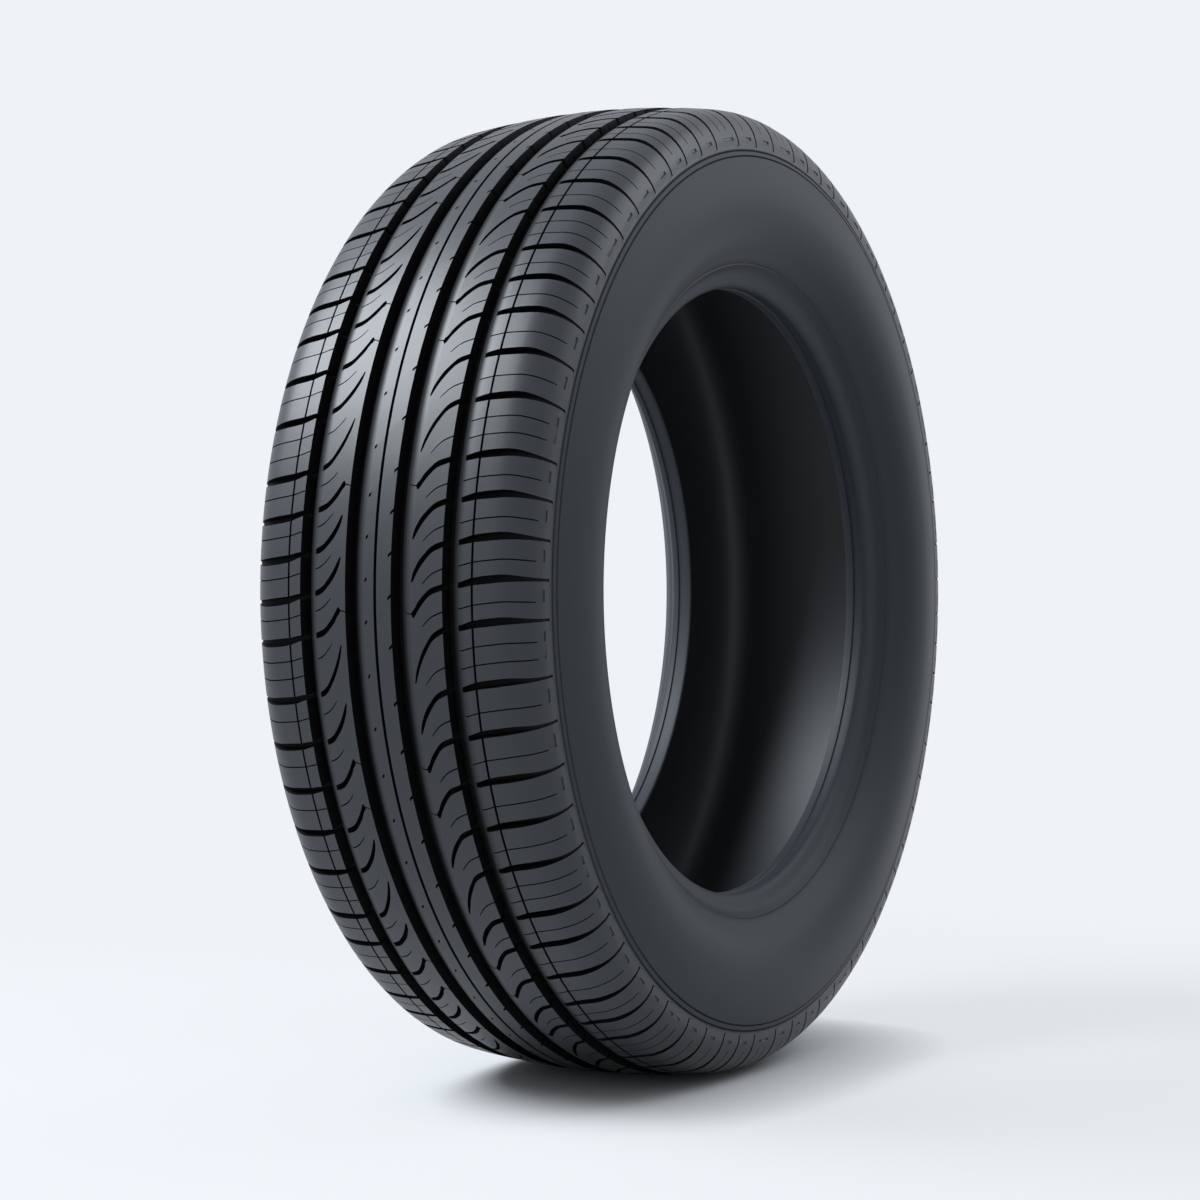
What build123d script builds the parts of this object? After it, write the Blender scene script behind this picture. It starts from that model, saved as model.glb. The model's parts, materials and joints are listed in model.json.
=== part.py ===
from build123d import *
import math
import os

# Size of the tyre, in mm
OUTER_RADIUS = 326.2
CROWN_RADIUS = 520.0
BEAD_SEAT_RADIUS = 202.8
RIM_WIDTH = 165.1
SECTION_WIDTH = 214.0
CROWN_THICKNESS = 16.5
SIDEWALL_THICKNESS = 9.5

# Beads: base, set-back of the heel, edge chamfers, flank, and the stock that the bore cuts away
BEAD_BASE_WIDTH = 18.0
BEAD_HEEL = 4.0
BEAD_CHAMFER = 1.6
BEAD_FLANK = 6.5
BEAD_STOCK = 3.0

# Sidewall and liner points: heights as shares of the way from the bead seat to the shoulder, and set-backs
UPPER_WALL_SHARE = 0.797
UPPER_WALL_INSET = 3.6
WIDEST_SHARE = 0.580
LOWER_WALL_SHARE = 0.374
LOWER_WALL_INSET = 4.4
RIM_RING_SHARE = 0.208
RIM_RING_REACH = 9.8
LINER_SHARE = 0.52
LINER_REACH = 4.0

# Main grooves, each by its inner and outer edge from the middle plane
INNER_GROOVE_START = 10.9
INNER_GROOVE_END = 21.2
OUTER_GROOVE_START = 45.0
OUTER_GROOVE_END = 55.0
GROOVE_DEPTH = 8.0
GROOVE_DRAFT = 1.2

# Shoulder bend, from the tread edge down to the upper sidewall
TREAD_EDGE = 76.0
SHOULDER_RADIUS = 27.0
SHOULDER_TURN = 80.0

# Lateral slots that run from the outer grooves over the shoulders
SLOT_WIDTH = 3.2
SLOT_DEPTH = 6.5
SLOT_SILL = 1.0
SLOT_TILT = 3.0
SLOT_OVERLAP = 0.6
SLOT_TURN = 30.0
SLOT_RUNOUT = 1.2
SLOT_FLARE = 16.0
TOOL_RISE = 6.0

# Tapered slots in the ribs between the grooves.
# The right ones open into the outer groove and the left ones end short of it.
FIN_WIDTH = 3.6
FIN_OFFSET = 1.4
FIN_TIP = 24.8
FIN_LAND = 1.8
FIN_SHARE = 0.92

# Pitches round the tread in three lengths, as parts of the circumference, in a mixed order
PITCH_PARTS = {"S": 23.3, "M": 27.3, "L": 33.6}
PITCH_ORDER = "MMMMLSSSSLMMSSLMMMSSSLMMLSSSMMLSSMMMLSSLMMSSSLMMLSSMMSLMSSMLSSMMLSSMMSL"
FIRST_PITCH_ANGLE = 149.5
LEFT_SIDE_SHIFT = -10.7

# Flat spot where the soft tyre stands, and the block that cuts it
FLAT_DEPTH = 1.2
FLAT_BLOCK_LENGTH = 200.0
FLAT_BLOCK_HEIGHT = 20.0


def crown(y):
    """Radius of the tread surface at a distance from the middle plane."""
    return OUTER_RADIUS - y * y / (2 * CROWN_RADIUS)


def middle_rib():
    """Radius of the ribs between the inner and the outer grooves."""
    return crown((INNER_GROOVE_END + OUTER_GROOVE_START) / 2)


def slot_floor():
    """Radius at which the slots meet the outer grooves, a small sill above the groove floor."""
    return middle_rib() - GROOVE_DEPTH + SLOT_SILL


def groove(start, end, inner_top, outer_top):
    """Section points of one main groove, between the tops of the ribs at its two sides."""
    floor = inner_top - GROOVE_DEPTH
    return [
        (inner_top, start),
        (floor, start + GROOVE_DRAFT),
        (floor, end - GROOVE_DRAFT),
        (outer_top, end),
    ]


def shoulder_point(turn):
    """Point of the shoulder bend, turned down from the tread edge by an angle in degrees."""
    lean = math.asin(TREAD_EDGE / CROWN_RADIUS)
    angle = lean + math.radians(turn)
    centre_y = TREAD_EDGE - SHOULDER_RADIUS * math.sin(lean)
    centre_r = crown(TREAD_EDGE) - SHOULDER_RADIUS * math.cos(lean)
    return (centre_r + SHOULDER_RADIUS * math.cos(angle), centre_y + SHOULDER_RADIUS * math.sin(angle))


def half_section():
    """Section points (radius, y) of one half, from the tread round the bead and up the liner."""
    half_rim = RIM_WIDTH / 2
    half_width = SECTION_WIDTH / 2
    heel = half_rim - BEAD_HEEL
    toe = half_rim - BEAD_BASE_WIDTH
    seat = BEAD_SEAT_RADIUS
    below_seat = seat - BEAD_STOCK
    bend = shoulder_point(SHOULDER_TURN)
    height = bend[0] - seat
    tread = groove(INNER_GROOVE_START, INNER_GROOVE_END, OUTER_RADIUS, middle_rib())
    tread += groove(OUTER_GROOVE_START, OUTER_GROOVE_END, middle_rib(), crown(OUTER_GROOVE_END))
    shoulder = [shoulder_point(0.0), shoulder_point(SHOULDER_TURN / 2), bend]
    sidewall = [
        (seat + UPPER_WALL_SHARE * height, half_width - UPPER_WALL_INSET),
        (seat + WIDEST_SHARE * height, half_width),
        (seat + LOWER_WALL_SHARE * height, half_width - LOWER_WALL_INSET),
        (seat + RIM_RING_SHARE * height, half_rim + RIM_RING_REACH),
    ]
    bead = [
        (seat + BEAD_FLANK, half_rim),
        (seat + BEAD_CHAMFER, heel),
        (below_seat, heel),
        (below_seat, toe),
        (seat + BEAD_CHAMFER, toe),
    ]
    liner = [
        (seat + LINER_SHARE * height, half_width - SIDEWALL_THICKNESS),
        (OUTER_RADIUS - CROWN_THICKNESS, TREAD_EDGE + LINER_REACH),
    ]
    return tread + shoulder + sidewall + bead + liner


def pitch_angles():
    """Angle in radians of each pitch length, so that the whole order closes the circle."""
    total = sum(PITCH_PARTS[name] for name in PITCH_ORDER)
    return {name: 2 * math.pi * part / total for name, part in PITCH_PARTS.items()}


def pitch_segment(angle):
    """One pitch of the ring: the section drawn straight along the pitch and mitred at both ends."""
    half = half_section()
    whole = half + [(radius, -y) for radius, y in reversed(half)]
    chord = math.cos(angle / 2)
    profile = make_face(Polyline(*[(radius * chord, y) for radius, y in whole], close=True))
    reach = 1.2 * OUTER_RADIUS
    rise = reach * math.tan(angle / 2)
    straight = extrude(profile, 2 * rise, both=True)
    wedge = make_face(Polyline((0, 0), (reach, -rise), (reach, rise), close=True))
    return straight & extrude(Plane.XZ * wedge, SECTION_WIDTH, both=True)


def shoulder_slot():
    """Tool for one lateral slot at the positive Y side, with a floor that follows the shoulder."""
    bend = shoulder_point(SHOULDER_TURN)
    turn = shoulder_point(SLOT_TURN)
    drop = 0.85 * SLOT_DEPTH
    inset = 0.4 * SLOT_DEPTH
    start = OUTER_GROOVE_END - GROOVE_DRAFT - SLOT_OVERLAP
    above = OUTER_RADIUS + TOOL_RISE
    side = [
        (slot_floor(), start),
        (turn[0] - drop, turn[1] - inset),
        (bend[0] + SLOT_RUNOUT, bend[1]),
        (above, bend[1] + SLOT_FLARE),
        (above, start),
    ]
    tool = extrude(make_face(Polyline(*side, close=True)), SLOT_WIDTH / 2, both=True)
    return tool.rotate(Axis((0, TREAD_EDGE, 0), (1, 0, 0)), SLOT_TILT)


def fin_slot(length, outer):
    """Tool for one tapered slot at the positive Y side, from its wide outer end to its inner tip."""
    plan = [
        (outer, -FIN_OFFSET),
        (outer, -FIN_OFFSET - FIN_WIDTH),
        (FIN_TIP, -FIN_SHARE * length),
    ]
    floor = Plane.YZ.offset(slot_floor())
    return extrude(floor * make_face(Polyline(*plan, close=True)), 2 * GROOVE_DEPTH)


def build_tyre():
    """The whole moulded tyre: its pitches joined into a ring, its slots, its bore and its flat spot."""
    angles = pitch_angles()
    segments = {name: pitch_segment(angle) for name, angle in angles.items()}
    fins = {}
    for name, angle in angles.items():
        length = angle * OUTER_RADIUS
        open_end = OUTER_GROOVE_START + GROOVE_DRAFT
        fins[name] = (fin_slot(length, open_end), fin_slot(length, OUTER_GROOVE_START - FIN_LAND))
    slot = shoulder_slot()
    turned_over = Rot(180, 0, 0)
    shift = math.degrees(LEFT_SIDE_SHIFT / OUTER_RADIUS)
    start = FIRST_PITCH_ANGLE
    ring = []
    cuts = [
        Cylinder(BEAD_SEAT_RADIUS, 2 * SECTION_WIDTH, rotation=(90, 0, 0)),
        Pos(0, 0, -OUTER_RADIUS + FLAT_DEPTH - FLAT_BLOCK_HEIGHT / 2)
        * Box(FLAT_BLOCK_LENGTH, 2 * SECTION_WIDTH, FLAT_BLOCK_HEIGHT),
    ]
    for name in PITCH_ORDER:
        sweep = math.degrees(angles[name])
        open_fin, closed_fin = fins[name]
        ring.append(Rot(0, start + sweep / 2, 0) * segments[name])
        cuts.append(Rot(0, start + shift, 0) * slot)
        cuts.append(Rot(0, start + shift, 0) * closed_fin)
        start += sweep
        cuts.append(Rot(0, start, 0) * turned_over * slot)
        cuts.append(Rot(0, start, 0) * turned_over * open_fin)
    return ring[0].fuse(*ring[1:]).cut(*cuts)


os.makedirs("parts", exist_ok=True)
tyre = build_tyre()
tyre.label = "tyre"
export_step(tyre, "parts/tyre.step")
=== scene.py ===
"""Studio scene of a car tyre: its moulded tread and walls, the rubber, the floor, lamps and camera."""

from __future__ import annotations

import json
import logging
import math
from abc import ABC, abstractmethod
from bisect import bisect_right
from dataclasses import dataclass, field
from enum import Enum
from typing import NamedTuple

import bpy
from mathutils import Matrix, Vector

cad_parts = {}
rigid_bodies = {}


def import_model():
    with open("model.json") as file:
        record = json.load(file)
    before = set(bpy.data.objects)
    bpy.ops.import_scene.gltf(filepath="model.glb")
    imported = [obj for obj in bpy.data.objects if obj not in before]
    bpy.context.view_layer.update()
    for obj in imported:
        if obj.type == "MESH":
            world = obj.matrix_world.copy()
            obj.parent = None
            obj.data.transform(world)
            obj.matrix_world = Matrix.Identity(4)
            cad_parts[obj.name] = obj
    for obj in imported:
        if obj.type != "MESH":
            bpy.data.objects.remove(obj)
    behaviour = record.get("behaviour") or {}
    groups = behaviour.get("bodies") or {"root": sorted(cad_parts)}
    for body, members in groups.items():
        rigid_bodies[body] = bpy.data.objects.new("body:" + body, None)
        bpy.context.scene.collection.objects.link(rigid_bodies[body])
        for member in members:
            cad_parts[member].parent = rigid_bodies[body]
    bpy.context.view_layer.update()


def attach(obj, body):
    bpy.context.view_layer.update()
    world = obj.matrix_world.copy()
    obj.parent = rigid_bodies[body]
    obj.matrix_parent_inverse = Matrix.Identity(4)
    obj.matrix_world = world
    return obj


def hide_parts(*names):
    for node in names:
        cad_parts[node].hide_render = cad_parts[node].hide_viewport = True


LOG = logging.getLogger("tyre_scene")

MM = 0.001
Pair = tuple[float, float]
Point = tuple[float, float, float]
Colour = tuple[float, float, float]
Station = tuple[float, "Cut"]
Face = tuple[int, ...]

COOL_WHITE: Colour = (0.90, 0.95, 1.0)


class Cut(Enum):
    """What a station of a pitch belongs to."""

    LAND = "land"
    SLOT = "slot"
    SIPE = "sipe"
    DASH = "dash"
    FIN = "fin"
    NICK = "nick"


class Finish(Enum):
    """The four finishes, by the number that a face carries: three looks of the rubber, and GROOVE,
    near-black painted shade on the faces in the grooves, slots and sipes.
    """

    TREAD = 0
    SIDEWALL = 1
    LINER = 2
    GROOVE = 3


class Zone(Enum):
    """A band of the section whose lines have the same stations."""

    CENTRE = "centre rib"
    RIB = "intermediate rib"
    SHOULDER = "shoulder"
    WALL = "walls, bead and liner"


class Side(Enum):
    """Side of the middle plane, by the sign of Y."""

    RIGHT = -1
    LEFT = 1


class PitchKind(Enum):
    """The three pitch lengths, as parts of the circumference."""

    S = 23.3
    M = 27.3
    L = 33.6


class FinKind(Enum):
    """The two forms of the curved slots in the intermediate ribs."""

    LONG = "long"
    HOOKED = "hooked"


class Course:
    """A smooth curve through a few measured points, as a value over a distance."""

    def __init__(self, *points: Pair) -> None:
        """Keep the points and work out a slope at each.

        Args:
            points: pairs of distance and value, with rising distances.
        """
        self.xs = [point[0] for point in points]
        self.ys = [point[1] for point in points]
        steps = [
            (self.ys[i + 1] - self.ys[i]) / (self.xs[i + 1] - self.xs[i])
            for i in range(len(points) - 1)
        ]
        self.slopes = [steps[0]]
        for before, after in zip(steps, steps[1:]):
            flat = before * after <= 0
            self.slopes.append(0.0 if flat else 2 * before * after / (before + after))
        self.slopes.append(steps[-1])

    def __call__(self, x: float) -> float:
        """Value at a distance, held at the ends.

        Args:
            x: the distance.

        Returns:
            The value there.
        """
        if x <= self.xs[0]:
            return self.ys[0]
        if x >= self.xs[-1]:
            return self.ys[-1]
        i = bisect_right(self.xs, x) - 1
        span = self.xs[i + 1] - self.xs[i]
        s = (x - self.xs[i]) / span
        low = self.ys[i] * (1 + 2 * s) * (1 - s) ** 2 + self.slopes[i] * span * s * (1 - s) ** 2
        high = self.ys[i + 1] * s * s * (3 - 2 * s) + self.slopes[i + 1] * span * s * s * (s - 1)
        return low + high


def even_steps(start: float, end: float, count: int) -> list[float]:
    """Evenly spaced values.

    Args:
        start: the first value.
        end: the last value.
        count: how many values there are, with both ends.

    Returns:
        The values.
    """
    return [start + (end - start) * i / (count - 1) for i in range(count)]


class Row(NamedTuple):
    """One row on the crown: its place across, its depth and how far it is sunk in a groove, 0 to 1, which
    sets its share of painted groove shade.
    """

    across: float
    depth: float = 0.0
    sunk: float = 0.0


@dataclass(frozen=True)
class Line:
    """One line of the section that runs along a pitch, with its depths below the outer surface."""

    zone: Zone
    across: float
    radius: float
    normal: Pair = (0.0, 0.0)
    base: float = 0.0
    cuts: dict[Cut, float] = field(default_factory=dict)
    finish: Finish = Finish.TREAD
    sunk: float = 0.0


@dataclass(frozen=True)
class Pitch:
    """One pitch of the tread: its kind, its length on the outer radius in mm and its fin slots."""

    kind: PitchKind
    length: float
    fin: FinKind


@dataclass(frozen=True)
class TyreForm:
    """Sizes of the tyre in mm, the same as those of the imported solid."""

    outer_radius: float = 326.2
    crown_radius: float = 520.0
    tread_edge: float = 76.0
    shoulder_radius: float = 27.0
    shoulder_turn: float = 80.0
    inner_groove: Pair = (10.9, 21.2)
    outer_groove: Pair = (45.0, 55.0)
    groove_depth: float = 8.0
    groove_draft: float = 1.2
    flat_depth: float = 1.2
    left_shift: float = -10.7
    first_angle: float = 149.5
    order: str = "MMMMLSSSSLMMSSLMMMSSSLMMLSSSMMLSSMMMLSSLMMSSSLMMLSSMMSLMSSMLSSMMLSSMMSL"

    def crown(self, across: float) -> float:
        """Radius of the tread surface at a distance from the middle plane."""
        return self.outer_radius - across * across / (2 * self.crown_radius)

    def tread_line(self, zone: Zone, row: Row, cuts: dict[Cut, float]) -> Line:
        """Line on the crown of the tread.

        Args:
            zone: the band that the line belongs to.
            row: the line's place, its depth and how far it is sunk.
            cuts: depths of the cuts.

        Returns:
            The line.
        """
        lean = row.across / self.crown_radius
        normal = (lean, math.sqrt(1 - lean * lean))
        return Line(zone, row.across, self.crown(row.across), normal, row.depth, cuts, sunk=row.sunk)

    def bend(self, turn: float) -> tuple[float, float, Pair]:
        """Point of the shoulder bend.

        Args:
            turn: angle down from the tread edge, in degrees.

        Returns:
            The distance across, the radius and the outward direction.
        """
        lean = math.asin(self.tread_edge / self.crown_radius)
        angle = lean + math.radians(turn)
        middle = self.tread_edge - self.shoulder_radius * math.sin(lean)
        height = self.crown(self.tread_edge) - self.shoulder_radius * math.cos(lean)
        normal = (math.sin(angle), math.cos(angle))
        across = middle + self.shoulder_radius * normal[0]
        return (across, height + self.shoulder_radius * normal[1], normal)

    def pitch_lengths(self) -> dict[PitchKind, float]:
        """Work out the length of each pitch kind, so that the order closes the circle.

        Returns:
            The lengths on the outer radius.
        """
        total = sum(PitchKind[name].value for name in self.order)
        round_way = 2 * math.pi * self.outer_radius
        return {kind: kind.value * round_way / total for kind in PitchKind}


@dataclass(frozen=True)
class SoftEdge:
    """The softened edge that each rib has on its left, in mm, by rows at shares of its width, with painted
    groove shade that thins out from its foot up to the rib.
    """

    width: float = 7.6
    reach: float = 4.2
    depth: float = 3.4
    foot: float = 0.9
    shares: tuple[float, ...] = (0.0, 0.15, 0.32, 0.52, 0.75)
    fall: float = 2.0
    # How fast the painted groove shade thins out up the edge.
    fade: float = 1.8

    def rows(self, edge: float, way: int, floor: float) -> list[Row]:
        """Rows between the foot on the groove's floor and the rib.

        Args:
            edge: place of the edge, from the middle plane.
            way: 1 where the rib lies outside the edge and -1 where it lies inside.
            floor: depth of the groove's floor.

        Returns:
            The rows, with rising places.
        """
        start = edge - way * self.reach
        rows = [Row(start - way * self.foot, floor)]
        for share in self.shares:
            place = start + way * share * self.width
            rows.append(Row(place, self.depth * (1 - share) ** self.fall, 1 - share**self.fade))
        return rows[::way]


class Band(ABC):
    """A band of the section: its lines, and the places along a pitch at which they have points."""

    @abstractmethod
    def lines(self, side: Side, pitch: Pitch) -> list[Line]:
        """Lines of one half, in their order round the section.

        Args:
            side: side of the middle plane.
            pitch: the pitch that the lines run along.

        Returns:
            The lines.
        """

    @abstractmethod
    def stations(self, line: Line, pitch: Pitch) -> list[Station]:
        """Places of a line's points along the pitch, from one seam between the pitches to the next.

        Args:
            line: the line of the section.
            pitch: the pitch that it runs along.

        Returns:
            The places in mm, each with the cut that it belongs to.
        """


@dataclass(frozen=True)
class CentreRib(Band):
    """The centre rib: a fine middle groove, notches in its right edge and dimples on its left, in mm."""

    form: TyreForm
    soft_edge: SoftEdge = SoftEdge()
    middle_groove: Pair = (0.5, 1.0)
    middle_depth: float = 3.0
    land: float = 4.6
    notch: Pair = (8.7, 9.2)
    notch_depths: Pair = (2.2, 2.6)
    dimple: tuple[float, ...] = (5.6, 5.9, 7.0, 7.3)
    dimple_depth: float = 1.6
    nick_share: float = 0.62
    nick_lean: float = 0.9
    nick_centre: float = 9.3
    nick_half: float = 1.0
    nick_floor: float = 0.7
    lead_share: float = 0.35

    def lines(self, side: Side, pitch: Pitch) -> list[Line]:
        """Lines from the fine middle groove out to the floor of the inner groove.

        Args:
            side: side of the middle plane.
            pitch: the pitch, which makes no difference here.

        Returns:
            The lines.
        """
        floor, top = self.middle_groove
        edge = self.form.inner_groove[0]
        plan = [(Row(floor, self.middle_depth), 0.0), (Row(top), 0.0), (Row(self.land), 0.0)]
        if side is Side.RIGHT:
            start, wall = self.notch
            wall_depth, edge_depth = self.notch_depths
            plan += [(Row(start), 0.0), (Row(wall), wall_depth), (Row(edge), edge_depth)]
            plan.append((Row(edge + self.form.groove_draft, self.form.groove_depth), 0.0))
        else:
            depths = (0.0, self.dimple_depth, self.dimple_depth, 0.0)
            plan += [(Row(across), depth) for across, depth in zip(self.dimple, depths)]
            plan += [(row, 0.0) for row in self.soft_edge.rows(edge, -1, self.form.groove_depth)]
        return [self.form.tread_line(Zone.CENTRE, row, {Cut.NICK: depth}) for row, depth in plan]

    def stations(self, line: Line, pitch: Pitch) -> list[Station]:
        """Places of the notch or dimple.

        Args:
            line: the line of the section.
            pitch: the pitch that it runs along.

        Returns:
            The places in mm, each with the cut that it belongs to.
        """
        seam = 0.5 * self.form.left_shift
        nick = self.nick_share * pitch.length + self.nick_lean * (line.across - self.nick_centre)
        return [
            (seam, Cut.LAND),
            (seam + self.lead_share * (nick - seam), Cut.LAND),
            (nick - self.nick_half, Cut.LAND),
            (nick - self.nick_floor, Cut.NICK),
            (nick + self.nick_floor, Cut.NICK),
            (nick + self.nick_half, Cut.LAND),
            (pitch.length + seam, Cut.LAND),
        ]


@dataclass(frozen=True)
class FinSlot:
    """One form of the curved slot: its middle line and half width over the place across, and two depths."""

    course: Course
    half: Course
    tail_depth: float
    start_depth: float


@dataclass(frozen=True)
class IntermediateRib(Band):
    """A rib between two main grooves, with a curved fin slot and a sipe in each pitch, in mm.

    The fin slots of the right rib open into the outer groove and those of the left rib end short of it.
    Their courses are those in a pitch as long as fin_pitch, and they stretch with the pitch.
    """

    form: TyreForm
    soft_edge: SoftEdge = SoftEdge()
    seam: Course = Course(
        (21.2, -13.4), (24.5, -13.8), (26.4, -13.2), (29.7, -10.1), (33.5, -6.0), (38.7, -1.7), (45.0, 0.9)
    )
    long_fin: FinSlot = FinSlot(
        course=Course(
            (21.2, -28.9),
            (24.5, -24.5),
            (26.4, -20.6),
            (29.7, -14.9),
            (33.5, -10.3),
            (38.7, -5.6),
            (45.2, -3.2),
        ),
        half=Course(
            (23.8, 0.4),
            (24.8, 0.6),
            (25.5, 2.3),
            (26.3, 2.8),
            (29.7, 2.7),
            (33.5, 2.3),
            (38.7, 2.0),
            (45.2, 1.85),
        ),
        tail_depth=0.0,
        start_depth=2.4,
    )
    hooked_fin: FinSlot = FinSlot(
        course=Course(
            (21.2, -17.4),
            (23.7, -18.2),
            (26.0, -18.2),
            (29.0, -14.2),
            (32.3, -10.3),
            (37.4, -5.8),
            (45.2, -3.2),
        ),
        half=Course(
            (21.2, 0.35),
            (24.8, 0.4),
            (25.5, 1.9),
            (26.3, 2.4),
            (29.0, 2.6),
            (32.3, 2.3),
            (37.4, 2.0),
            (45.2, 1.85),
        ),
        tail_depth=1.4,
        start_depth=3.2,
    )
    fin_end: float = 3.2
    fin_pitch: float = 24.05
    fin_start: float = 25.0
    fin_fall: float = 1.6
    fin_depth: float = 6.5
    fin_wall: float = 0.05
    fin_wall_share: float = 0.28
    closed_end: float = 42.8
    sipe_start: float = 33.0
    sipe_end: float = 45.5
    sipe_depth: float = 3.2
    sipe_half: float = 0.45
    sipe_share: float = 0.34
    land_share: float = 0.55
    left_rows: tuple[float, ...] = (22.4, 23.8)
    middle_rows: tuple[float, ...] = (24.8, 25.5, 26.3, 27.4, 28.7, 30.2, 31.8, 33.4, 35.2, 37.3, 39.6)
    open_row: float = 42.1
    closed_row: float = 41.2

    def fin(self, pitch: Pitch) -> FinSlot:
        """The form of a pitch's fin slot."""
        return self.hooked_fin if pitch.fin is FinKind.HOOKED else self.long_fin

    def depth_of_fin(self, across: float, fin: FinSlot) -> float:
        """Depth of a fin slot, from its tail or tip outwards.

        Args:
            across: distance from the middle plane.
            fin: the form of the slot.

        Returns:
            The depth below the rib.
        """
        if across < self.fin_start:
            return fin.tail_depth
        return min(self.fin_depth, fin.start_depth + self.fin_fall * (across - self.fin_start))

    def lines(self, side: Side, pitch: Pitch) -> list[Line]:
        """Lines from the floor of the inner groove to that of the outer groove.

        Args:
            side: side of the middle plane.
            pitch: the pitch that the lines run along.

        Returns:
            The lines.
        """
        floor = self.form.groove_depth
        draft = self.form.groove_draft
        start = self.form.inner_groove[1]
        end = self.form.outer_groove[0]
        middle = [Row(across) for across in self.middle_rows]
        if side is Side.RIGHT:
            rows = self.soft_edge.rows(start, 1, floor) + middle
            rows += [Row(self.open_row), Row(end), Row(end + draft, floor)]
            fin_end, sipe_end = math.inf, self.sipe_end
        else:
            rows = [Row(start - draft, floor), Row(start)]
            rows += [Row(across) for across in self.left_rows] + middle
            rows += [Row(self.closed_row), *self.soft_edge.rows(end, -1, floor)]
            fin_end, sipe_end = self.closed_end, self.closed_end
        fin = self.fin(pitch)
        lines = []
        for row in rows:
            cuts = {
                Cut.FIN: self.depth_of_fin(row.across, fin) if row.across <= fin_end else 0.0,
                Cut.SIPE: self.sipe_depth if self.sipe_start < row.across < sipe_end else 0.0,
            }
            lines.append(self.form.tread_line(Zone.RIB, row, cuts))
        return lines

    def stations(self, line: Line, pitch: Pitch) -> list[Station]:
        """Places of the sipe and of the fin slot.

        Args:
            line: the line of the section.
            pitch: the pitch that it runs along.

        Returns:
            The places in mm, each with the cut that it belongs to.
        """
        fin = self.fin(pitch)
        seam = self.seam(line.across)
        half = fin.half(line.across)
        wall = self.fin_wall_share * half + self.fin_wall
        stretch = pitch.length / self.fin_pitch
        middle = pitch.length - self.fin_end + (fin.course(line.across) + self.fin_end) * stretch
        near, far = middle - half, middle + half
        sipe = seam + self.sipe_share * (near - seam)
        return [
            (seam, Cut.LAND),
            (0.5 * (seam + sipe), Cut.LAND),
            (sipe - self.sipe_half, Cut.LAND),
            (sipe, Cut.SIPE),
            (sipe + self.sipe_half, Cut.LAND),
            (sipe + self.land_share * (near - sipe), Cut.LAND),
            (near, Cut.LAND),
            (near + wall, Cut.FIN),
            (far - wall, Cut.FIN),
            (far, Cut.LAND),
            (0.5 * (far + pitch.length + seam), Cut.LAND),
            (pitch.length + seam, Cut.LAND),
        ]


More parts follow.
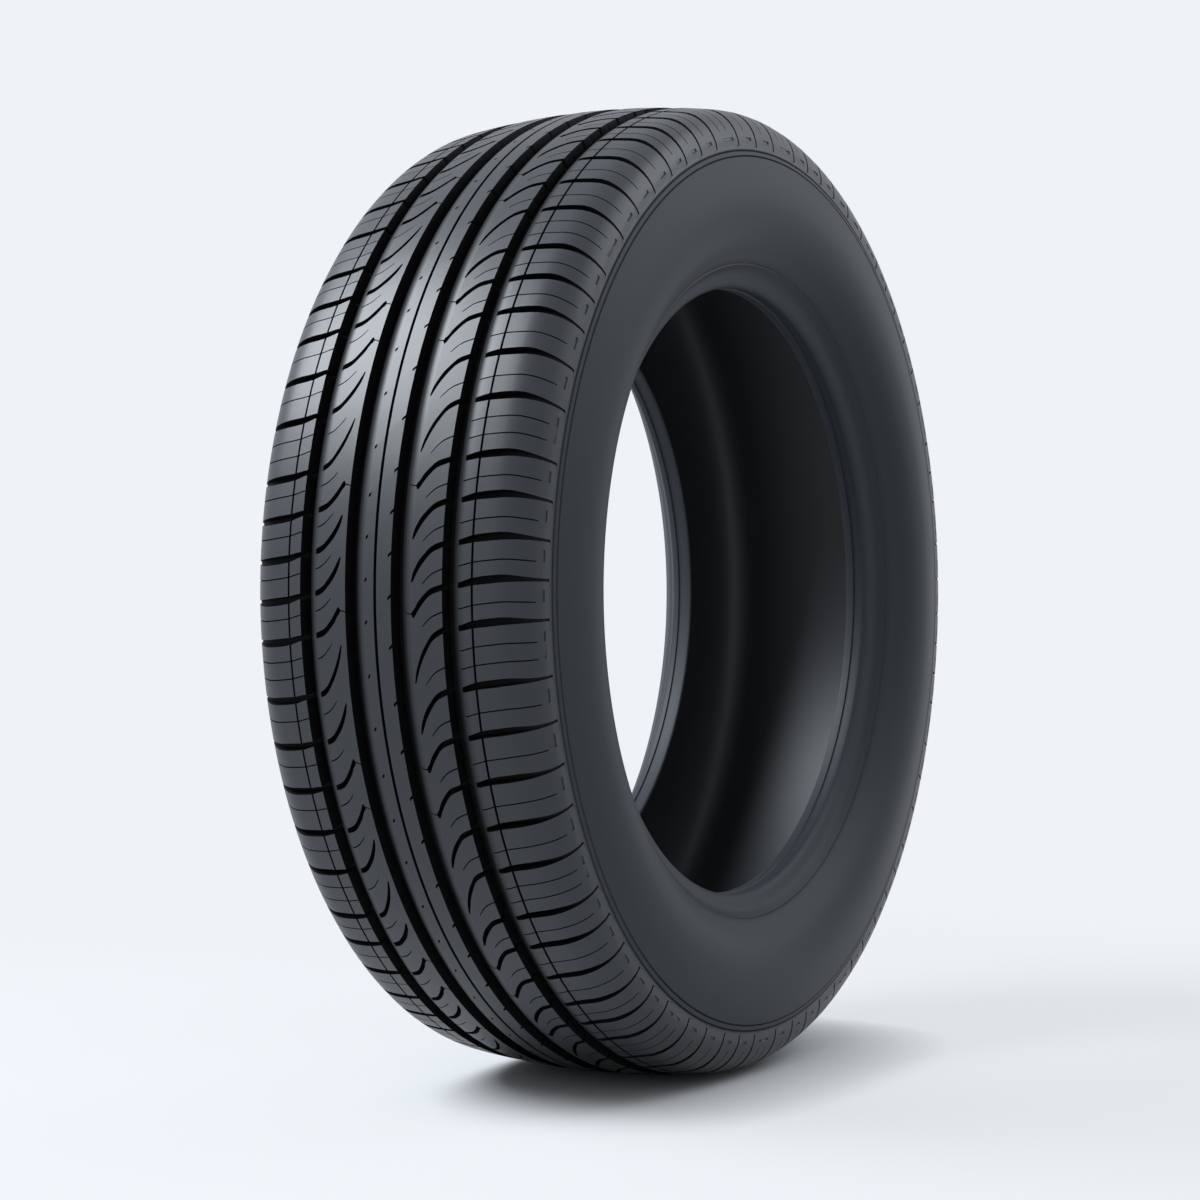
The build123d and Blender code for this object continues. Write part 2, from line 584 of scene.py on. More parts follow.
@dataclass(frozen=True)
class Shoulder(Band):
    """The shoulder: slots, sipes, a fine groove and short dashes, over the bend to the sidewall, in mm."""

    form: TyreForm
    soft_edge: SoftEdge = SoftEdge()
    slot_course: Course = Course(
        (53.7, -2.4), (56.2, -2.0), (64.0, 0.0), (77.4, 1.5), (83.6, 2.0), (98.5, 1.3)
    )
    slot_half: Course = Course(
        (53.7, 1.5), (58.0, 1.9), (64.0, 2.25), (74.0, 2.45), (84.0, 2.25), (92.0, 1.5), (98.5, 0.9)
    )
    slot_wall: float = 0.3
    slot_depth: float = 6.5
    right_slot_start: float = 56.0
    left_slot_start: float = 53.0
    sipe_start: float = 56.0
    sipe_depth: float = 3.4
    sipe_half: float = 0.4
    short_sipes: tuple[float, ...] = (0.45,)
    long_sipes: tuple[float, ...] = (0.335, 0.633)
    lead_share: float = 0.24
    short_dash_end: float = 0.74
    long_dash_end: float = 0.8
    left_rows: tuple[float, ...] = (56.0, 57.6)
    first_row: float = 58.8
    fine_groove: tuple[float, ...] = (63.3, 63.6, 64.4, 64.7)
    fine_depth: float = 2.2
    last_row: float = 70.4
    bend_turns: tuple[float, ...] = (0.0, 10.0, 20.0, 30.0, 40.0, 48.0, 57.0)
    bend_slot: Course = Course(
        (0.0, 6.0),
        (10.0, 5.4),
        (20.0, 4.2),
        (30.0, 2.8),
        (40.0, 1.5),
        (48.0, 0.8),
        (57.0, 0.55),
        (71.8, 0.55),
        (80.0, 0.5),
    )
    bend_sipe: Course = Course(
        (0.0, 3.4), (10.0, 3.3), (20.0, 3.1), (30.0, 2.4), (40.0, 1.4), (48.0, 0.7), (57.0, 0.0)
    )
    dash_turns: Pair = (68.0, 71.0)
    dash_wall: float = 0.8
    dash_depth: float = 0.7

    def lines(self, side: Side, pitch: Pitch) -> list[Line]:
        """Lines from the floor of the outer groove over the bend to the sidewall.

        Args:
            side: side of the middle plane.
            pitch: the pitch, which makes no difference here.

        Returns:
            The lines.
        """
        floor = self.form.groove_depth
        edge = self.form.outer_groove[1]
        if side is Side.RIGHT:
            rows = self.soft_edge.rows(edge, 1, floor)
            slot_start = self.right_slot_start
        else:
            rows = [Row(edge - self.form.groove_draft, floor), Row(edge)]
            rows += [Row(across) for across in self.left_rows]
            slot_start = self.left_slot_start
        depths = (0.0, self.fine_depth, self.fine_depth, 0.0)
        rows.append(Row(self.first_row))
        rows += [Row(across, depth) for across, depth in zip(self.fine_groove, depths)]
        rows.append(Row(self.last_row))
        lines = []
        for row in rows:
            cuts = {
                Cut.SLOT: self.slot_depth if row.across > slot_start else row.depth,
                Cut.SIPE: self.sipe_depth if row.across >= self.sipe_start else 0.0,
            }
            lines.append(self.form.tread_line(Zone.SHOULDER, row, cuts))
        return lines + self.bend_lines()

    def bend_lines(self) -> list[Line]:
        """Lines of the bend, on which the slots and sipes run out and the dashes lie.

        Returns:
            The lines, from the tread edge down.
        """
        start, end = self.dash_turns
        turns = [*self.bend_turns, start - self.dash_wall, start, end, end + self.dash_wall]
        turns.append(self.form.shoulder_turn)
        lines = []
        for turn in turns:
            across, radius, normal = self.form.bend(turn)
            cuts = {
                Cut.SLOT: self.bend_slot(turn),
                Cut.SIPE: self.bend_sipe(turn),
                Cut.DASH: self.dash_depth if start <= turn <= end else 0.0,
            }
            lines.append(Line(Zone.SHOULDER, across, radius, normal, 0.0, cuts))
        return lines

    def stations(self, line: Line, pitch: Pitch) -> list[Station]:
        """Places of the sipes, the dash and the slot, from the upper edge of one slot to that of the next.

        Args:
            line: the line of the section.
            pitch: the pitch that it runs along.

        Returns:
            The places in mm, each with the cut that it belongs to.
        """
        is_long = pitch.kind is PitchKind.L
        course = self.slot_course(line.across)
        half = self.slot_half(line.across)
        stations = [(course + half, Cut.LAND), (course + self.lead_share * pitch.length, Cut.LAND)]
        for share in self.long_sipes if is_long else self.short_sipes:
            sipe = course + share * pitch.length
            stations += [
                (sipe - self.sipe_half, Cut.LAND),
                (sipe, Cut.SIPE),
                (sipe + self.sipe_half, Cut.DASH),
            ]
        dash_end = course + (self.long_dash_end if is_long else self.short_dash_end) * pitch.length
        slot = pitch.length + course
        stations += [
            (dash_end, Cut.DASH),
            (dash_end + self.sipe_half, Cut.LAND),
            (slot - half, Cut.LAND),
            (slot - half + self.slot_wall, Cut.SLOT),
            (slot + half - self.slot_wall, Cut.SLOT),
            (slot + half, Cut.LAND),
        ]
        return stations


@dataclass(frozen=True)
class WallSection(Band):
    """Section of the sidewall, the bead and the liner of one half in mm, with curves over the radius."""

    form: TyreForm
    bulge: Course = Course(
        (219.6, 91.1),
        (224.4, 94.4),
        (232.4, 100.5),
        (242.8, 105.3),
        (254.4, 107.0),
        (265.0, 106.0),
        (276.6, 103.6),
        (293.2, 99.35),
    )
    flank: Course = Course((203.0, 78.6), (205.4, 80.9), (209.0, 82.5), (213.2, 84.6), (217.8, 89.8))
    liner: Course = Course(
        (205.4, 64.8),
        (214.2, 71.2),
        (231.4, 84.6),
        (248.4, 94.9),
        (261.0, 97.3),
        (274.8, 95.6),
        (284.4, 92.6),
        (294.0, 88.0),
    )
    top: float = 293.2
    ring_lines: Pair = (291.8, 288.2)
    ring_half: float = 0.65
    ring_depth: float = 1.0
    upper_wall: float = 282.0
    widest: float = 254.4
    upper_rows: int = 6
    lower_wall: float = 248.6
    rim_line: float = 219.6
    lower_rows: int = 9
    rim_groove: Pair = (89.6, 218.7)
    flank_top: float = 217.8
    heel: float = 203.0
    flank_rows: int = 10
    seat_radius: float = 202.8
    seat_ends: Pair = (77.6, 66.1)
    seat_groove: Pair = (74.8, 70.5)
    seat_groove_depth: float = 1.1
    seat_groove_draft: float = 0.7
    toe: tuple[Pair, ...] = ((65.1, 203.0), (64.55, 203.9))
    liner_foot: float = 205.4
    liner_top: float = 294.0
    liner_rows: int = 12
    liner_crown: tuple[Pair, ...] = ((81.6, 302.6), (74.0, 307.6), (64.0, 309.5), (20.0, 309.7))
    seam_start: float = 2.0
    seam_drift: float = 80.0
    short_steps: int = 3
    long_steps: int = 4

    def outer_points(self) -> list[Pair]:
        """Points from the shoulder down to the bead's heel, with the two ring lines and the rim line.

        Returns:
            Places across and radii.
        """
        points = [(self.bulge(self.top), self.top)]
        for ring in self.ring_lines:
            above = ring + self.ring_half
            below = ring - self.ring_half
            points.append((self.bulge(above), above))
            points.append((self.bulge(ring) - self.ring_depth, ring))
            points.append((self.bulge(below), below))
        wall = even_steps(self.upper_wall, self.widest, self.upper_rows)
        wall += even_steps(self.lower_wall, self.rim_line, self.lower_rows)
        points += [(self.bulge(radius), radius) for radius in wall]
        points.append(self.rim_groove)
        flank = even_steps(self.flank_top, self.heel, self.flank_rows)
        points += [(self.flank(radius), radius) for radius in flank]
        return points

    def seat_points(self) -> list[Pair]:
        """Points of the bead's base with its shallow groove, from the heel to the toe.

        Returns:
            Places across and radii.
        """
        floor = self.seat_radius + self.seat_groove_depth
        start, end = self.seat_ends
        outer, inner = self.seat_groove
        return [
            (start, self.seat_radius),
            (outer, self.seat_radius),
            (outer - self.seat_groove_draft, floor),
            (inner + self.seat_groove_draft, floor),
            (inner, self.seat_radius),
            (end, self.seat_radius),
        ]

    def liner_points(self) -> list[Pair]:
        """Points from the bead's toe up the inside of the wall and under the tread."""
        radii = even_steps(self.liner_foot, self.liner_top, self.liner_rows)
        return [*self.toe, *((self.liner(radius), radius) for radius in radii), *self.liner_crown]

    def lines(self, side: Side, pitch: Pitch) -> list[Line]:
        """Lines of the sidewall with its fine rings, the bead and the liner up to the middle plane.

        Args:
            side: side of the middle plane, which makes no difference here.
            pitch: the pitch, which makes no difference here.

        Returns:
            The lines.
        """
        wall = self.outer_points() + self.seat_points()
        lines = [Line(Zone.WALL, across, radius, finish=Finish.SIDEWALL) for across, radius in wall]
        for across, radius in self.liner_points():
            lines.append(Line(Zone.WALL, across, radius, finish=Finish.LINER))
        return lines

    def stations(self, line: Line, pitch: Pitch) -> list[Station]:
        """Even places, with seams that drift down the wall to the middle of the left side's shift.

        Args:
            line: the line of the section.
            pitch: the pitch that it runs along.

        Returns:
            The places in mm, all on land.
        """
        steps = self.long_steps if pitch.kind is PitchKind.L else self.short_steps
        middle = 0.5 * self.form.left_shift
        if line.finish is Finish.LINER:
            first = middle
            steps -= 1
        else:
            below = self.form.bend(self.form.shoulder_turn)[1] - line.radius
            share = min(1.0, max(0.0, below / self.seam_drift))
            first = self.seam_start + share * (middle - self.seam_start)
        return [(first + pitch.length * i / steps, Cut.LAND) for i in range(steps + 1)]


@dataclass
class PitchTile:
    """One pitch of the mould, drawn flat: X along the tread, Y across it and Z along the radius."""

    form: TyreForm
    pitch: Pitch
    # Depths in mm past which a point lies deep, so that its faces get the painted groove shade.
    floor_limit: float = 2.1
    cut_limit: float = 0.3

    def __post_init__(self) -> None:
        """Make the bands of the section, from the middle of the tread to that of the liner."""
        self.bands: dict[Zone, Band] = {
            Zone.CENTRE: CentreRib(self.form),
            Zone.RIB: IntermediateRib(self.form),
            Zone.SHOULDER: Shoulder(self.form),
            Zone.WALL: WallSection(self.form),
        }

    def points(self, line: Line, side: Side) -> list[Point]:
        """Points of one line, in mm.

        Args:
            line: the line of the section.
            side: side of the middle plane. The left is the right turned half round and shifted.

        Returns:
            The points with rising X.
        """
        row = []
        for along, cut in self.bands[line.zone].stations(line, self.pitch):
            depth = max(line.base, line.cuts.get(cut, 0.0))
            across = line.across - depth * line.normal[0]
            row.append((along, side.value * across, line.radius - depth * line.normal[1]))
        if side is Side.LEFT:
            row = [(self.pitch.length - x + self.form.left_shift, y, z) for x, y, z in reversed(row)]
        return row

    def deep(self, line: Line, side: Side) -> list[bool]:
        """Which points of one line lie in a groove, a slot or a sipe, so that their faces get the painted
        groove shade.

        Args:
            line: the line of the section.
            side: side of the middle plane.

        Returns:
            One value for each point, in the order of the points.
        """
        on_floor = line.base > self.floor_limit and line.sunk == 0.0
        marks = []
        for _, cut in self.bands[line.zone].stations(line, self.pitch):
            in_cut = cut is not Cut.DASH and line.cuts.get(cut, 0.0) > line.base + self.cut_limit
            marks.append(on_floor or in_cut)
        return marks[::-1] if side is Side.LEFT else marks

    def half(self, side: Side) -> list[tuple[Line, list[Point], list[bool]]]:
        """All lines of one half, from the middle of the tread to the middle of the liner.

        Args:
            side: side of the middle plane.

        Returns:
            Each line with its points and their marks.
        """
        lines = [line for band in self.bands.values() for line in band.lines(side, self.pitch)]
        return [(line, self.points(line, side), self.deep(line, side)) for line in lines]

    def build(self, name: str) -> bpy.types.Object:
        """Make the flat tile, closed round the section.

        Args:
            name: name of the tile's object.

        Returns:
            The tile, which isn't linked to the scene.
        """
        loop = list(reversed(self.half(Side.LEFT))) + self.half(Side.RIGHT)
        verts: list[Point] = []
        marks: list[bool] = []
        sunk: list[float] = []
        starts: list[int] = []
        for line, row, deep in loop:
            starts.append(len(verts))
            verts += row
            marks += deep
            sunk += [line.sunk] * len(row)
        faces: list[Face] = []
        finishes: list[int] = []
        for i, (line, row, _) in enumerate(loop):
            j = (i + 1) % len(loop)
            other, next_row, _ = loop[j]
            same = line.zone is other.zone and len(row) == len(next_row) and j > 0
            strip = self.strip(starts[i], row, starts[j], next_row, same)
            look = min(line.finish, other.finish, key=lambda finish: finish.value)
            faces += strip
            # Faces with a point in a groove, a slot or a sipe take the near-black finish that paints the
            # shade there.
            finishes += [(Finish.GROOVE if any(marks[k] for k in face) else look).value for face in strip]
        mesh = bpy.data.meshes.new(name)
        mesh.from_pydata([tuple(MM * value for value in vert) for vert in verts], [], faces)
        mesh.attributes.new("finish", "INT", "FACE").data.foreach_set("value", finishes)
        # The sunk share sets how much painted groove shade the tread material lays on each point.
        mesh.attributes.new("sunk", "FLOAT", "POINT").data.foreach_set("value", sunk)
        mesh.shade_smooth()
        return bpy.data.objects.new(name, mesh)

    def strip(
        self, first: int, row: list[Point], second: int, other: list[Point], even: bool
    ) -> list[Face]:
        """Faces between two neighbouring lines.

        Args:
            first: number of the first line's first point.
            row: points of the first line.
            second: number of the second line's first point.
            other: points of the second line.
            even: True where the stations of both lines belong together.

        Returns:
            Quads between lines of one zone, and triangles where the stations differ.
        """
        if even:
            return [(first + i, first + i + 1, second + i + 1, second + i) for i in range(len(row) - 1)]
        faces: list[Face] = []
        i = j = 0
        while i < len(row) - 1 or j < len(other) - 1:
            ahead = row[i + 1][0] - row[0][0] if i < len(row) - 1 else math.inf
            behind = other[j + 1][0] - other[0][0] if j < len(other) - 1 else math.inf
            if ahead <= behind:
                faces.append((first + i, first + i + 1, second + j))
                i += 1
            else:
                faces.append((first + i, second + j + 1, second + j))
                j += 1
        return faces


class Socket:
    """A value in a node tree, with operators that add Math nodes."""

    def __init__(self, tree: NodeBuilder, link: bpy.types.NodeSocket) -> None:
        """Keep the tree's builder and the socket."""
        self.tree = tree
        self.link = link

    def _math(self, operation: str, first: Value, second: Value) -> Socket:
        """Add one Math node."""
        return self.tree.node("ShaderNodeMath", {"operation": operation}, {0: first, 1: second})

    def __add__(self, other: Value) -> Socket:
        """Sum of two values."""
        return self._math("ADD", self, other)

    __radd__ = __add__

    def __sub__(self, other: Value) -> Socket:
        """Difference of two values."""
        return self._math("SUBTRACT", self, other)

    def __rsub__(self, other: Value) -> Socket:
        """Difference with the value on the right."""
        return self._math("SUBTRACT", other, self)

    def __mul__(self, other: Value) -> Socket:
        """Product of two values."""
        return self._math("MULTIPLY", self, other)


Value = Socket | float


class NodeBuilder:
    """Adds nodes to one tree."""

    def __init__(self, tree: bpy.types.NodeTree) -> None:
        """Keep the tree and empty it."""
        self.tree = tree
        tree.nodes.clear()

    def node(
        self, kind: str, settings: dict[str, object], inputs: dict[int | str, object], out: int | str = 0
    ) -> Socket:
        """Add a node.

        Args:
            kind: type of the node.
            settings: properties of the node, set first.
            inputs: values or links by the number or name of the socket.
            out: number or name of the socket that is handed back.

        Returns:
            The output socket, or the first input of a node that has no output.
        """
        node = self.tree.nodes.new(kind)
        for name, value in settings.items():
            setattr(node, name, value)
        for key, value in inputs.items():
            if isinstance(value, Socket):
                self.tree.links.new(value.link, node.inputs[key])
            else:
                node.inputs[key].default_value = value
        return Socket(self, node.outputs[out] if len(node.outputs) else node.inputs[0])


@dataclass(frozen=True)
class Rubber:
    """A finish of moulded rubber."""

    name: str
    colour: Colour
    worn: Colour
    roughness: float
    spread: float
    grain: float
    grain_depth: float
    shine: float = 0.5
    cloud: float = 9.0
    cloud_detail: float = 3.0
    grain_detail: float = 2.0
    relief: float = 0.35

    def build(self, sunk: Rubber | None = None) -> bpy.types.Material:
        """Make the material.

        Args:
            sunk: the finish of painted groove shade that takes over, by the point attribute sunk, down the
                softened edges of the ribs.

        Returns:
            The material.
        """
        material = bpy.data.materials.new(self.name)
        material.use_nodes = True
        nodes = NodeBuilder(material.node_tree)
        surface = self.surface(nodes)
        if sunk:
            # Blend into the painted groove shade by how far each point is sunk.
            share = nodes.node("ShaderNodeAttribute", {"attribute_name": "sunk"}, {}, "Fac")
            surface = nodes.node("ShaderNodeMixShader", {}, {0: share, 1: surface, 2: sunk.surface(nodes)})
        nodes.node("ShaderNodeOutputMaterial", {}, {"Surface": surface})
        return material

    def surface(self, nodes: NodeBuilder) -> Socket:
        """Add the nodes of this finish.

        Args:
            nodes: builder of the material's tree.

        Returns:
            The shader, with a faint change of tone, of gloss and of grain over the surface.
        """
        place = nodes.node("ShaderNodeTexCoord", {}, {}, "Object")
        cloud = nodes.node(
            "ShaderNodeTexNoise", {}, {"Vector": place, "Scale": self.cloud, "Detail": self.cloud_detail}
        )
        grain = nodes.node(
            "ShaderNodeTexNoise", {}, {"Vector": place, "Scale": self.grain, "Detail": self.grain_detail}
        )
        tone = nodes.node(
            "ShaderNodeMix",
            {"data_type": "RGBA"},
            {0: cloud, 6: (*self.colour, 1.0), 7: (*self.worn, 1.0)},
            2,
        )
        gloss = self.roughness + (cloud - 0.5) * self.spread
        relief = nodes.node(
            "ShaderNodeBump", {}, {"Strength": self.relief, "Distance": self.grain_depth, "Height": grain}
        )
        return nodes.node(
            "ShaderNodeBsdfPrincipled",
            {},
            {"Base Color": tone, "Roughness": gloss, "Normal": relief, "Specular IOR Level": self.shine},
        )


@dataclass
class MouldedTyre:
    """The whole tyre: its pitches set round the circle by Geometry Nodes, in one piece of rubber."""

    form: TyreForm = field(default_factory=TyreForm)
    tread: Rubber = Rubber(
        name="tread_rubber",
        colour=(0.014, 0.018, 0.023),
        worn=(0.019, 0.024, 0.030),
        roughness=0.40,
        spread=0.06,
        grain=900.0,
        grain_depth=0.00008,
    )
    sidewall: Rubber = Rubber(
        name="sidewall_rubber",
        colour=(0.022, 0.027, 0.033),
        worn=(0.026, 0.031, 0.038),
        roughness=0.52,
        spread=0.05,
        grain=1400.0,
        grain_depth=0.00004,
        shine=0.27,
    )
    liner: Rubber = Rubber(
        name="liner_rubber",
        colour=(0.030, 0.035, 0.041),
        worn=(0.034, 0.039, 0.046),
        roughness=0.48,
        spread=0.06,
        grain=700.0,
        grain_depth=0.00004,
    )
    # Near-black, dull finish that paints the shade in the grooves, slots and sipes and down the softened
    # rib edges.
    groove: Rubber = Rubber(
        name="groove_rubber",
        colour=(0.003, 0.0035, 0.004),
        worn=(0.004, 0.0045, 0.005),
        roughness=0.6,
        spread=0.06,
        grain=900.0,
        grain_depth=0.00004,
        shine=0.1,
    )
    hook_step: int = 5
    hook_slip: int = 7
    hook_cycle: int = 3
    merge_gap: float = 0.00002
    sharp_angle: float = 34.0

    def pitches(self) -> list[Pitch]:
        """The pitches that need a tile. The long one has no hooked fin slot.

        Returns:
            The pitches, in the order of their tiles.
        """
        lengths = self.form.pitch_lengths()
        pitches = []
        for kind in PitchKind:
            for fin in FinKind:
                if kind is not PitchKind.L or fin is FinKind.LONG:
                    pitches.append(Pitch(kind, lengths[kind], fin))
        return pitches

    def tile_numbers(self) -> list[int]:
        """Choose a tile for each pitch of the order, with hooked and long fin slots in a mixed turn.

        Returns:
            The numbers of the tiles.
        """
        tiles = [(pitch.kind, pitch.fin) for pitch in self.pitches()]
        numbers = []
        for i, name in enumerate(self.form.order):
            kind = PitchKind[name]
            in_turn = (i * self.hook_step + i // self.hook_slip) % self.hook_cycle != 0
            fin = FinKind.HOOKED if in_turn and kind is not PitchKind.L else FinKind.LONG
            numbers.append(tiles.index((kind, fin)))
        return numbers

    def pitch_points(self) -> bpy.types.Object:
        """Make the points that carry the tiles: one for each pitch, at its start, with its tile's number.

        Returns:
            The points, linked to the scene.
        """
        lengths = self.form.pitch_lengths()
        along = math.radians(self.form.first_angle) * self.form.outer_radius
        verts = []
        for name in self.form.order:
            verts.append((MM * along, 0.0, 0.0))
            along += lengths[PitchKind[name]]
        mesh = bpy.data.meshes.new("pitch_points")
        mesh.from_pydata(verts, [], [])
        mesh.attributes.new("tile", "INT", "POINT").data.foreach_set("value", self.tile_numbers())
        points = bpy.data.objects.new("pitch_points", mesh)
        bpy.context.collection.objects.link(points)
        return points

    def tree(self) -> bpy.types.NodeTree:
        """Make the Geometry Nodes tree that sets the tiles on the points and bends the row into a ring.

        Returns:
            The tree, with its sizes, its tiles and its materials as named inputs.
        """
        tree = bpy.data.node_groups.new("pitch_ring", "GeometryNodeTree")
        face = tree.interface
        face.new_socket("Geometry", in_out="OUTPUT", socket_type="NodeSocketGeometry")
        face.new_socket("Geometry", in_out="INPUT", socket_type="NodeSocketGeometry")
        face.new_socket("Tiles", in_out="INPUT", socket_type="NodeSocketCollection")
        face.new_socket("Radius", in_out="INPUT", socket_type="NodeSocketFloat")
        face.new_socket("Ground", in_out="INPUT", socket_type="NodeSocketFloat")
        face.new_socket("Merge", in_out="INPUT", socket_type="NodeSocketFloat")
        for look in Finish:
            face.new_socket(look.name.title(), in_out="INPUT", socket_type="NodeSocketMaterial")
        nodes = NodeBuilder(tree)
        start = tree.nodes.new("NodeGroupInput")
        given = {socket.name: Socket(nodes, socket) for socket in start.outputs if socket.name}
        tiles = nodes.node(
            "GeometryNodeCollectionInfo",
            {"transform_space": "ORIGINAL"},
            {"Collection": given["Tiles"], "Separate Children": True, "Reset Children": True},
        )
        number = nodes.node("GeometryNodeInputNamedAttribute", {"data_type": "INT"}, {"Name": "tile"})
        row = nodes.node(
            "GeometryNodeInstanceOnPoints",
            {},
            {
                "Points": given["Geometry"],
                "Instance": tiles,
                "Pick Instance": True,
                "Instance Index": number,
            },
        )
        flat = nodes.node("GeometryNodeRealizeInstances", {}, {0: row})
        place = nodes.node("GeometryNodeInputPosition", {}, {})
        along, across, radius = (
            nodes.node("ShaderNodeSeparateXYZ", {}, {0: place}, axis) for axis in ("X", "Y", "Z")
        )
        angle = nodes.node("ShaderNodeMath", {"operation": "DIVIDE"}, {0: along, 1: given["Radius"]})
        forward = radius * nodes.node("ShaderNodeMath", {"operation": "COSINE"}, {0: angle})
        up = 0.0 - radius * nodes.node("ShaderNodeMath", {"operation": "SINE"}, {0: angle})
        standing = nodes.node("ShaderNodeMath", {"operation": "MAXIMUM"}, {0: up, 1: given["Ground"]})
        bent = nodes.node("ShaderNodeCombineXYZ", {}, {"X": forward, "Y": across, "Z": standing})
        ring = nodes.node("GeometryNodeSetPosition", {}, {"Geometry": flat, "Position": bent})
        ring = nodes.node("GeometryNodeMergeByDistance", {}, {"Geometry": ring, "Distance": given["Merge"]})
        look_of = nodes.node("GeometryNodeInputNamedAttribute", {"data_type": "INT"}, {"Name": "finish"})
        for look in Finish:
            chosen = nodes.node(
                "FunctionNodeCompare",
                {"data_type": "INT", "operation": "EQUAL"},
                {2: look_of, 3: look.value},
            )
            ring = nodes.node(
                "GeometryNodeSetMaterial",
                {},
                {"Geometry": ring, "Selection": chosen, "Material": given[look.name.title()]},
            )
        nodes.node("NodeGroupOutput", {}, {0: ring})
        return tree

    def build(self) -> bpy.types.Object:
        """Make the tyre.

        Returns:
            The tyre as one plain mesh with its materials.
        """
        box = bpy.data.collections.new("pitch_tiles")
        for i, pitch in enumerate(self.pitches()):
            box.objects.link(PitchTile(self.form, pitch).build(f"pitch_{i}"))
        points = self.pitch_points()
        tree = self.tree()
        modifier = points.modifiers.new("pitch_ring", "NODES")
        modifier.node_group = tree
        values = {
            "Tiles": box,
            "Radius": MM * self.form.outer_radius,
            "Ground": MM * (self.form.flat_depth - self.form.outer_radius),
            "Merge": self.merge_gap,
            # The tread blends into the painted groove shade down the softened rib edges.
            "Tread": self.tread.build(self.groove),
            "Sidewall": self.sidewall.build(),
            "Liner": self.liner.build(),
            "Groove": self.groove.build(),
        }
        for item in tree.interface.items_tree:
            if item.in_out == "INPUT" and item.name in values:
                modifier[item.identifier] = values[item.name]
        graph = bpy.context.evaluated_depsgraph_get()
        mesh = bpy.data.meshes.new_from_object(points.evaluated_get(graph))
        mesh.name = "tyre_rubber"
        points.modifiers.clear()
        bpy.data.objects.remove(points)
        for tile in list(box.objects):
            bpy.data.objects.remove(tile)
        bpy.data.collections.remove(box)
        self.face_out(mesh)
        mesh.set_sharp_from_angle(angle=math.radians(self.sharp_angle))
        tyre = bpy.data.objects.new("tyre_rubber", mesh)
        bpy.context.collection.objects.link(tyre)
        return tyre

    def face_out(self, mesh: bpy.types.Mesh) -> None:
        """Turn the faces outwards where the closed mesh has its inside out.

        Args:
            mesh: the closed mesh.
        """
        mesh.calc_loop_triangles()
        volume = 0.0
        for triangle in mesh.loop_triangles:
            a, b, c = (mesh.vertices[i].co for i in triangle.vertices)
            volume += a.dot(b.cross(c)) / 6
        if volume < 0:
            mesh.flip_normals()
        LOG.info("rubber volume %.3f litres, %d triangles", 1000 * abs(volume), len(mesh.loop_triangles))


@dataclass(frozen=True)
class StudioCamera:
    """Camera fitted to the photograph, in metres and mm of lens."""

    lens: float = 81.7
    sensor: float = 36.0
    place: Point = (-1.6489, -0.8842, -0.0060)
    towards: Point = (0.8744, 0.4853, 0.0)

    def build(self) -> bpy.types.Object:
        """Make the camera and set it as the scene's camera.

        Returns:
            The camera.
        """
        data = bpy.data.cameras.new("studio_camera")
        data.lens = self.lens
        data.sensor_width = self.sensor
        camera = bpy.data.objects.new("studio_camera", data)
        bpy.context.collection.objects.link(camera)
        turn = Vector(self.towards).to_track_quat("-Z", "Y").to_matrix().to_4x4()
        camera.matrix_world = Matrix.Translation(Vector(self.place)) @ turn
        bpy.context.scene.camera = camera
        return camera


@dataclass(frozen=True)
class SoftLamp:
    """One large soft lamp, aimed at a point, in metres and watts."""

    name: str
    place: Point
    size: Pair
    power: float
    aim: Point = (0.0, 0.0, 0.0)
    tint: Colour = COOL_WHITE

    def build(self) -> bpy.types.Object:
        """Make the lamp.

        Returns:
            The lamp.
        """
        data = bpy.data.lights.new(self.name, "AREA")
        data.shape = "RECTANGLE"
        data.size, data.size_y = self.size
        data.energy = self.power
        data.color = self.tint
        lamp = bpy.data.objects.new(self.name, data)
        bpy.context.collection.objects.link(lamp)
        turn = (Vector(self.aim) - Vector(self.place)).to_track_quat("-Z", "Y").to_matrix().to_4x4()
        lamp.matrix_world = Matrix.Translation(Vector(self.place)) @ turn
        return lamp


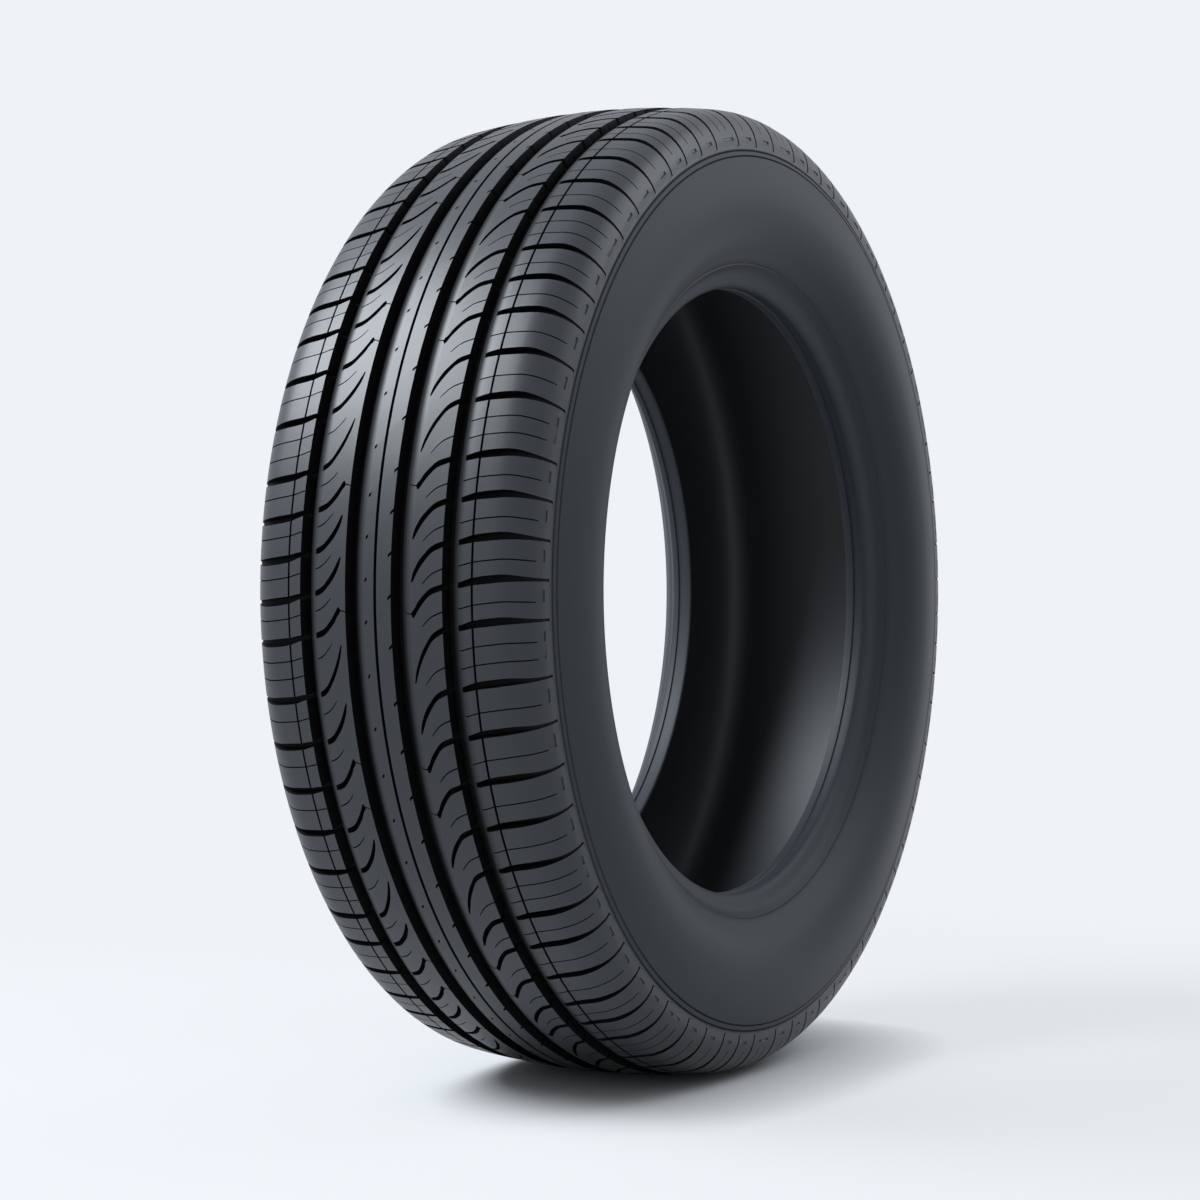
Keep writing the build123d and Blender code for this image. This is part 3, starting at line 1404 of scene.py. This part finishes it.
@dataclass(frozen=True)
class Studio:
    """Pale floor, pale surroundings and soft lamps, in metres."""

    backdrop: Colour = (0.863, 0.888, 0.930)
    floor_colour: Colour = (0.76, 0.77, 0.78)
    floor_glow: float = 0.79
    floor_half: float = 1.6
    fade_start: float = 0.45
    fade_end: float = 1.1
    # Reach and samples of the ambient occlusion that paints the contact shadow on the floor.
    shade_reach: float = 0.09
    shade_samples: int = 12
    ambient: float = 0.3
    ground: float = -0.325
    lamps: tuple[SoftLamp, ...] = (
        SoftLamp("key", place=(-1.20, 1.27, 1.62), size=(1.6, 1.2), power=88.0),
        SoftLamp("right", place=(1.35, -1.55, 1.5), size=(1.4, 1.4), power=15.0),
    )

    def build(self) -> None:
        """Make the floor, the surroundings and the lamps."""
        self.build_world()
        self.build_floor()
        for lamp in self.lamps:
            lamp.build()
        bpy.context.scene.view_settings.view_transform = "Standard"

    def seen(self, nodes: NodeBuilder) -> Socket:
        """Add a value that is 1 to the eye, in reflections and through glass, and 0 to other light.

        Args:
            nodes: builder of the tree.

        Returns:
            The value.
        """
        eye, mirror, glass = (
            nodes.node("ShaderNodeLightPath", {}, {}, ray)
            for ray in ("Is Camera Ray", "Is Glossy Ray", "Is Transmission Ray")
        )
        clamped_sum = {"operation": "ADD", "use_clamp": True}
        return nodes.node("ShaderNodeMath", clamped_sum, {0: eye + mirror, 1: glass})

    def build_world(self) -> None:
        """Make the surroundings: the backdrop to the eye and in reflections, soft light elsewhere."""
        world = bpy.data.worlds.new("studio")
        world.use_nodes = True
        bpy.context.scene.world = world
        nodes = NodeBuilder(world.node_tree)
        seen = self.seen(nodes)
        light = nodes.node(
            "ShaderNodeBackground", {}, {"Color": (*COOL_WHITE, 1.0), "Strength": self.ambient}
        )
        pale = nodes.node("ShaderNodeBackground", {}, {"Color": (*self.backdrop, 1.0), "Strength": 1.0})
        mixed = nodes.node("ShaderNodeMixShader", {}, {0: seen, 1: light, 2: pale})
        nodes.node("ShaderNodeOutputWorld", {}, {"Surface": mixed})

    def build_floor(self) -> bpy.types.Object:
        """Make the floor: a pale sheet that takes the lamps' shadow, lightened by its glow, with a painted
        contact shadow, and fades into the backdrop.

        Returns:
            The floor.
        """
        half = self.floor_half
        corners = [(-half, -half), (half, -half), (half, half), (-half, half)]
        mesh = bpy.data.meshes.new("floor")
        mesh.from_pydata([(x, y, self.ground) for x, y in corners], [], [(0, 1, 2, 3)])
        mesh.materials.append(self.floor_paper())
        floor = bpy.data.objects.new("floor", mesh)
        bpy.context.collection.objects.link(floor)
        return floor

    def floor_paper(self) -> bpy.types.Material:
        """Make the floor's material: pale paper with an even glow, a contact shadow painted by ambient
        occlusion close to the tyre, and clear far from it.

        Returns:
            The material.
        """
        material = bpy.data.materials.new("floor_paper")
        material.use_nodes = True
        nodes = NodeBuilder(material.node_tree)
        place = nodes.node("ShaderNodeTexCoord", {}, {}, "Object")
        flat = nodes.node("ShaderNodeVectorMath", {"operation": "MULTIPLY"}, {0: place, 1: (1.0, 1.0, 0.0)})
        away = nodes.node("ShaderNodeVectorMath", {"operation": "LENGTH"}, {0: flat}, "Value")
        fade = nodes.node(
            "ShaderNodeMapRange",
            {"interpolation_type": "SMOOTHSTEP"},
            {
                "Value": away,
                "From Min": self.fade_start,
                "From Max": self.fade_end,
                "To Min": 0.0,
                "To Max": 1.0,
            },
        )
        paper = nodes.node("ShaderNodeBsdfDiffuse", {}, {"Color": (*self.floor_colour, 1.0)})
        pale = nodes.node("ShaderNodeEmission", {}, {"Color": (*self.backdrop, 1.0), "Strength": 1.0})
        open_sky = nodes.node(
            "ShaderNodeAmbientOcclusion",
            {"samples": self.shade_samples},
            {"Distance": self.shade_reach},
            "AO",
        )
        # The glow lightens the floor and most of the lamps' shadow; ambient occlusion takes the glow away
        # close to the tyre, so the dark contact shadow there is painted by the occlusion over the real
        # shade.
        glow = self.seen(nodes) * self.floor_glow * open_sky * open_sky
        paper = nodes.node("ShaderNodeMixShader", {}, {0: glow, 1: paper, 2: pale})
        clear = nodes.node("ShaderNodeBsdfTransparent", {}, {})
        mixed = nodes.node("ShaderNodeMixShader", {}, {0: fade, 1: paper, 2: clear})
        nodes.node("ShaderNodeOutputMaterial", {}, {"Surface": mixed})
        return material


def main() -> None:
    """Build the scene: the frame, the tyre, the studio and the camera."""
    logging.basicConfig(level=logging.INFO)
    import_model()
    tyre = MouldedTyre().build()
    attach(tyre, "root")
    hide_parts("tyre")
    LOG.info("tyre built")
    Studio().build()
    StudioCamera().build()


if __name__ == "__main__":
    main()
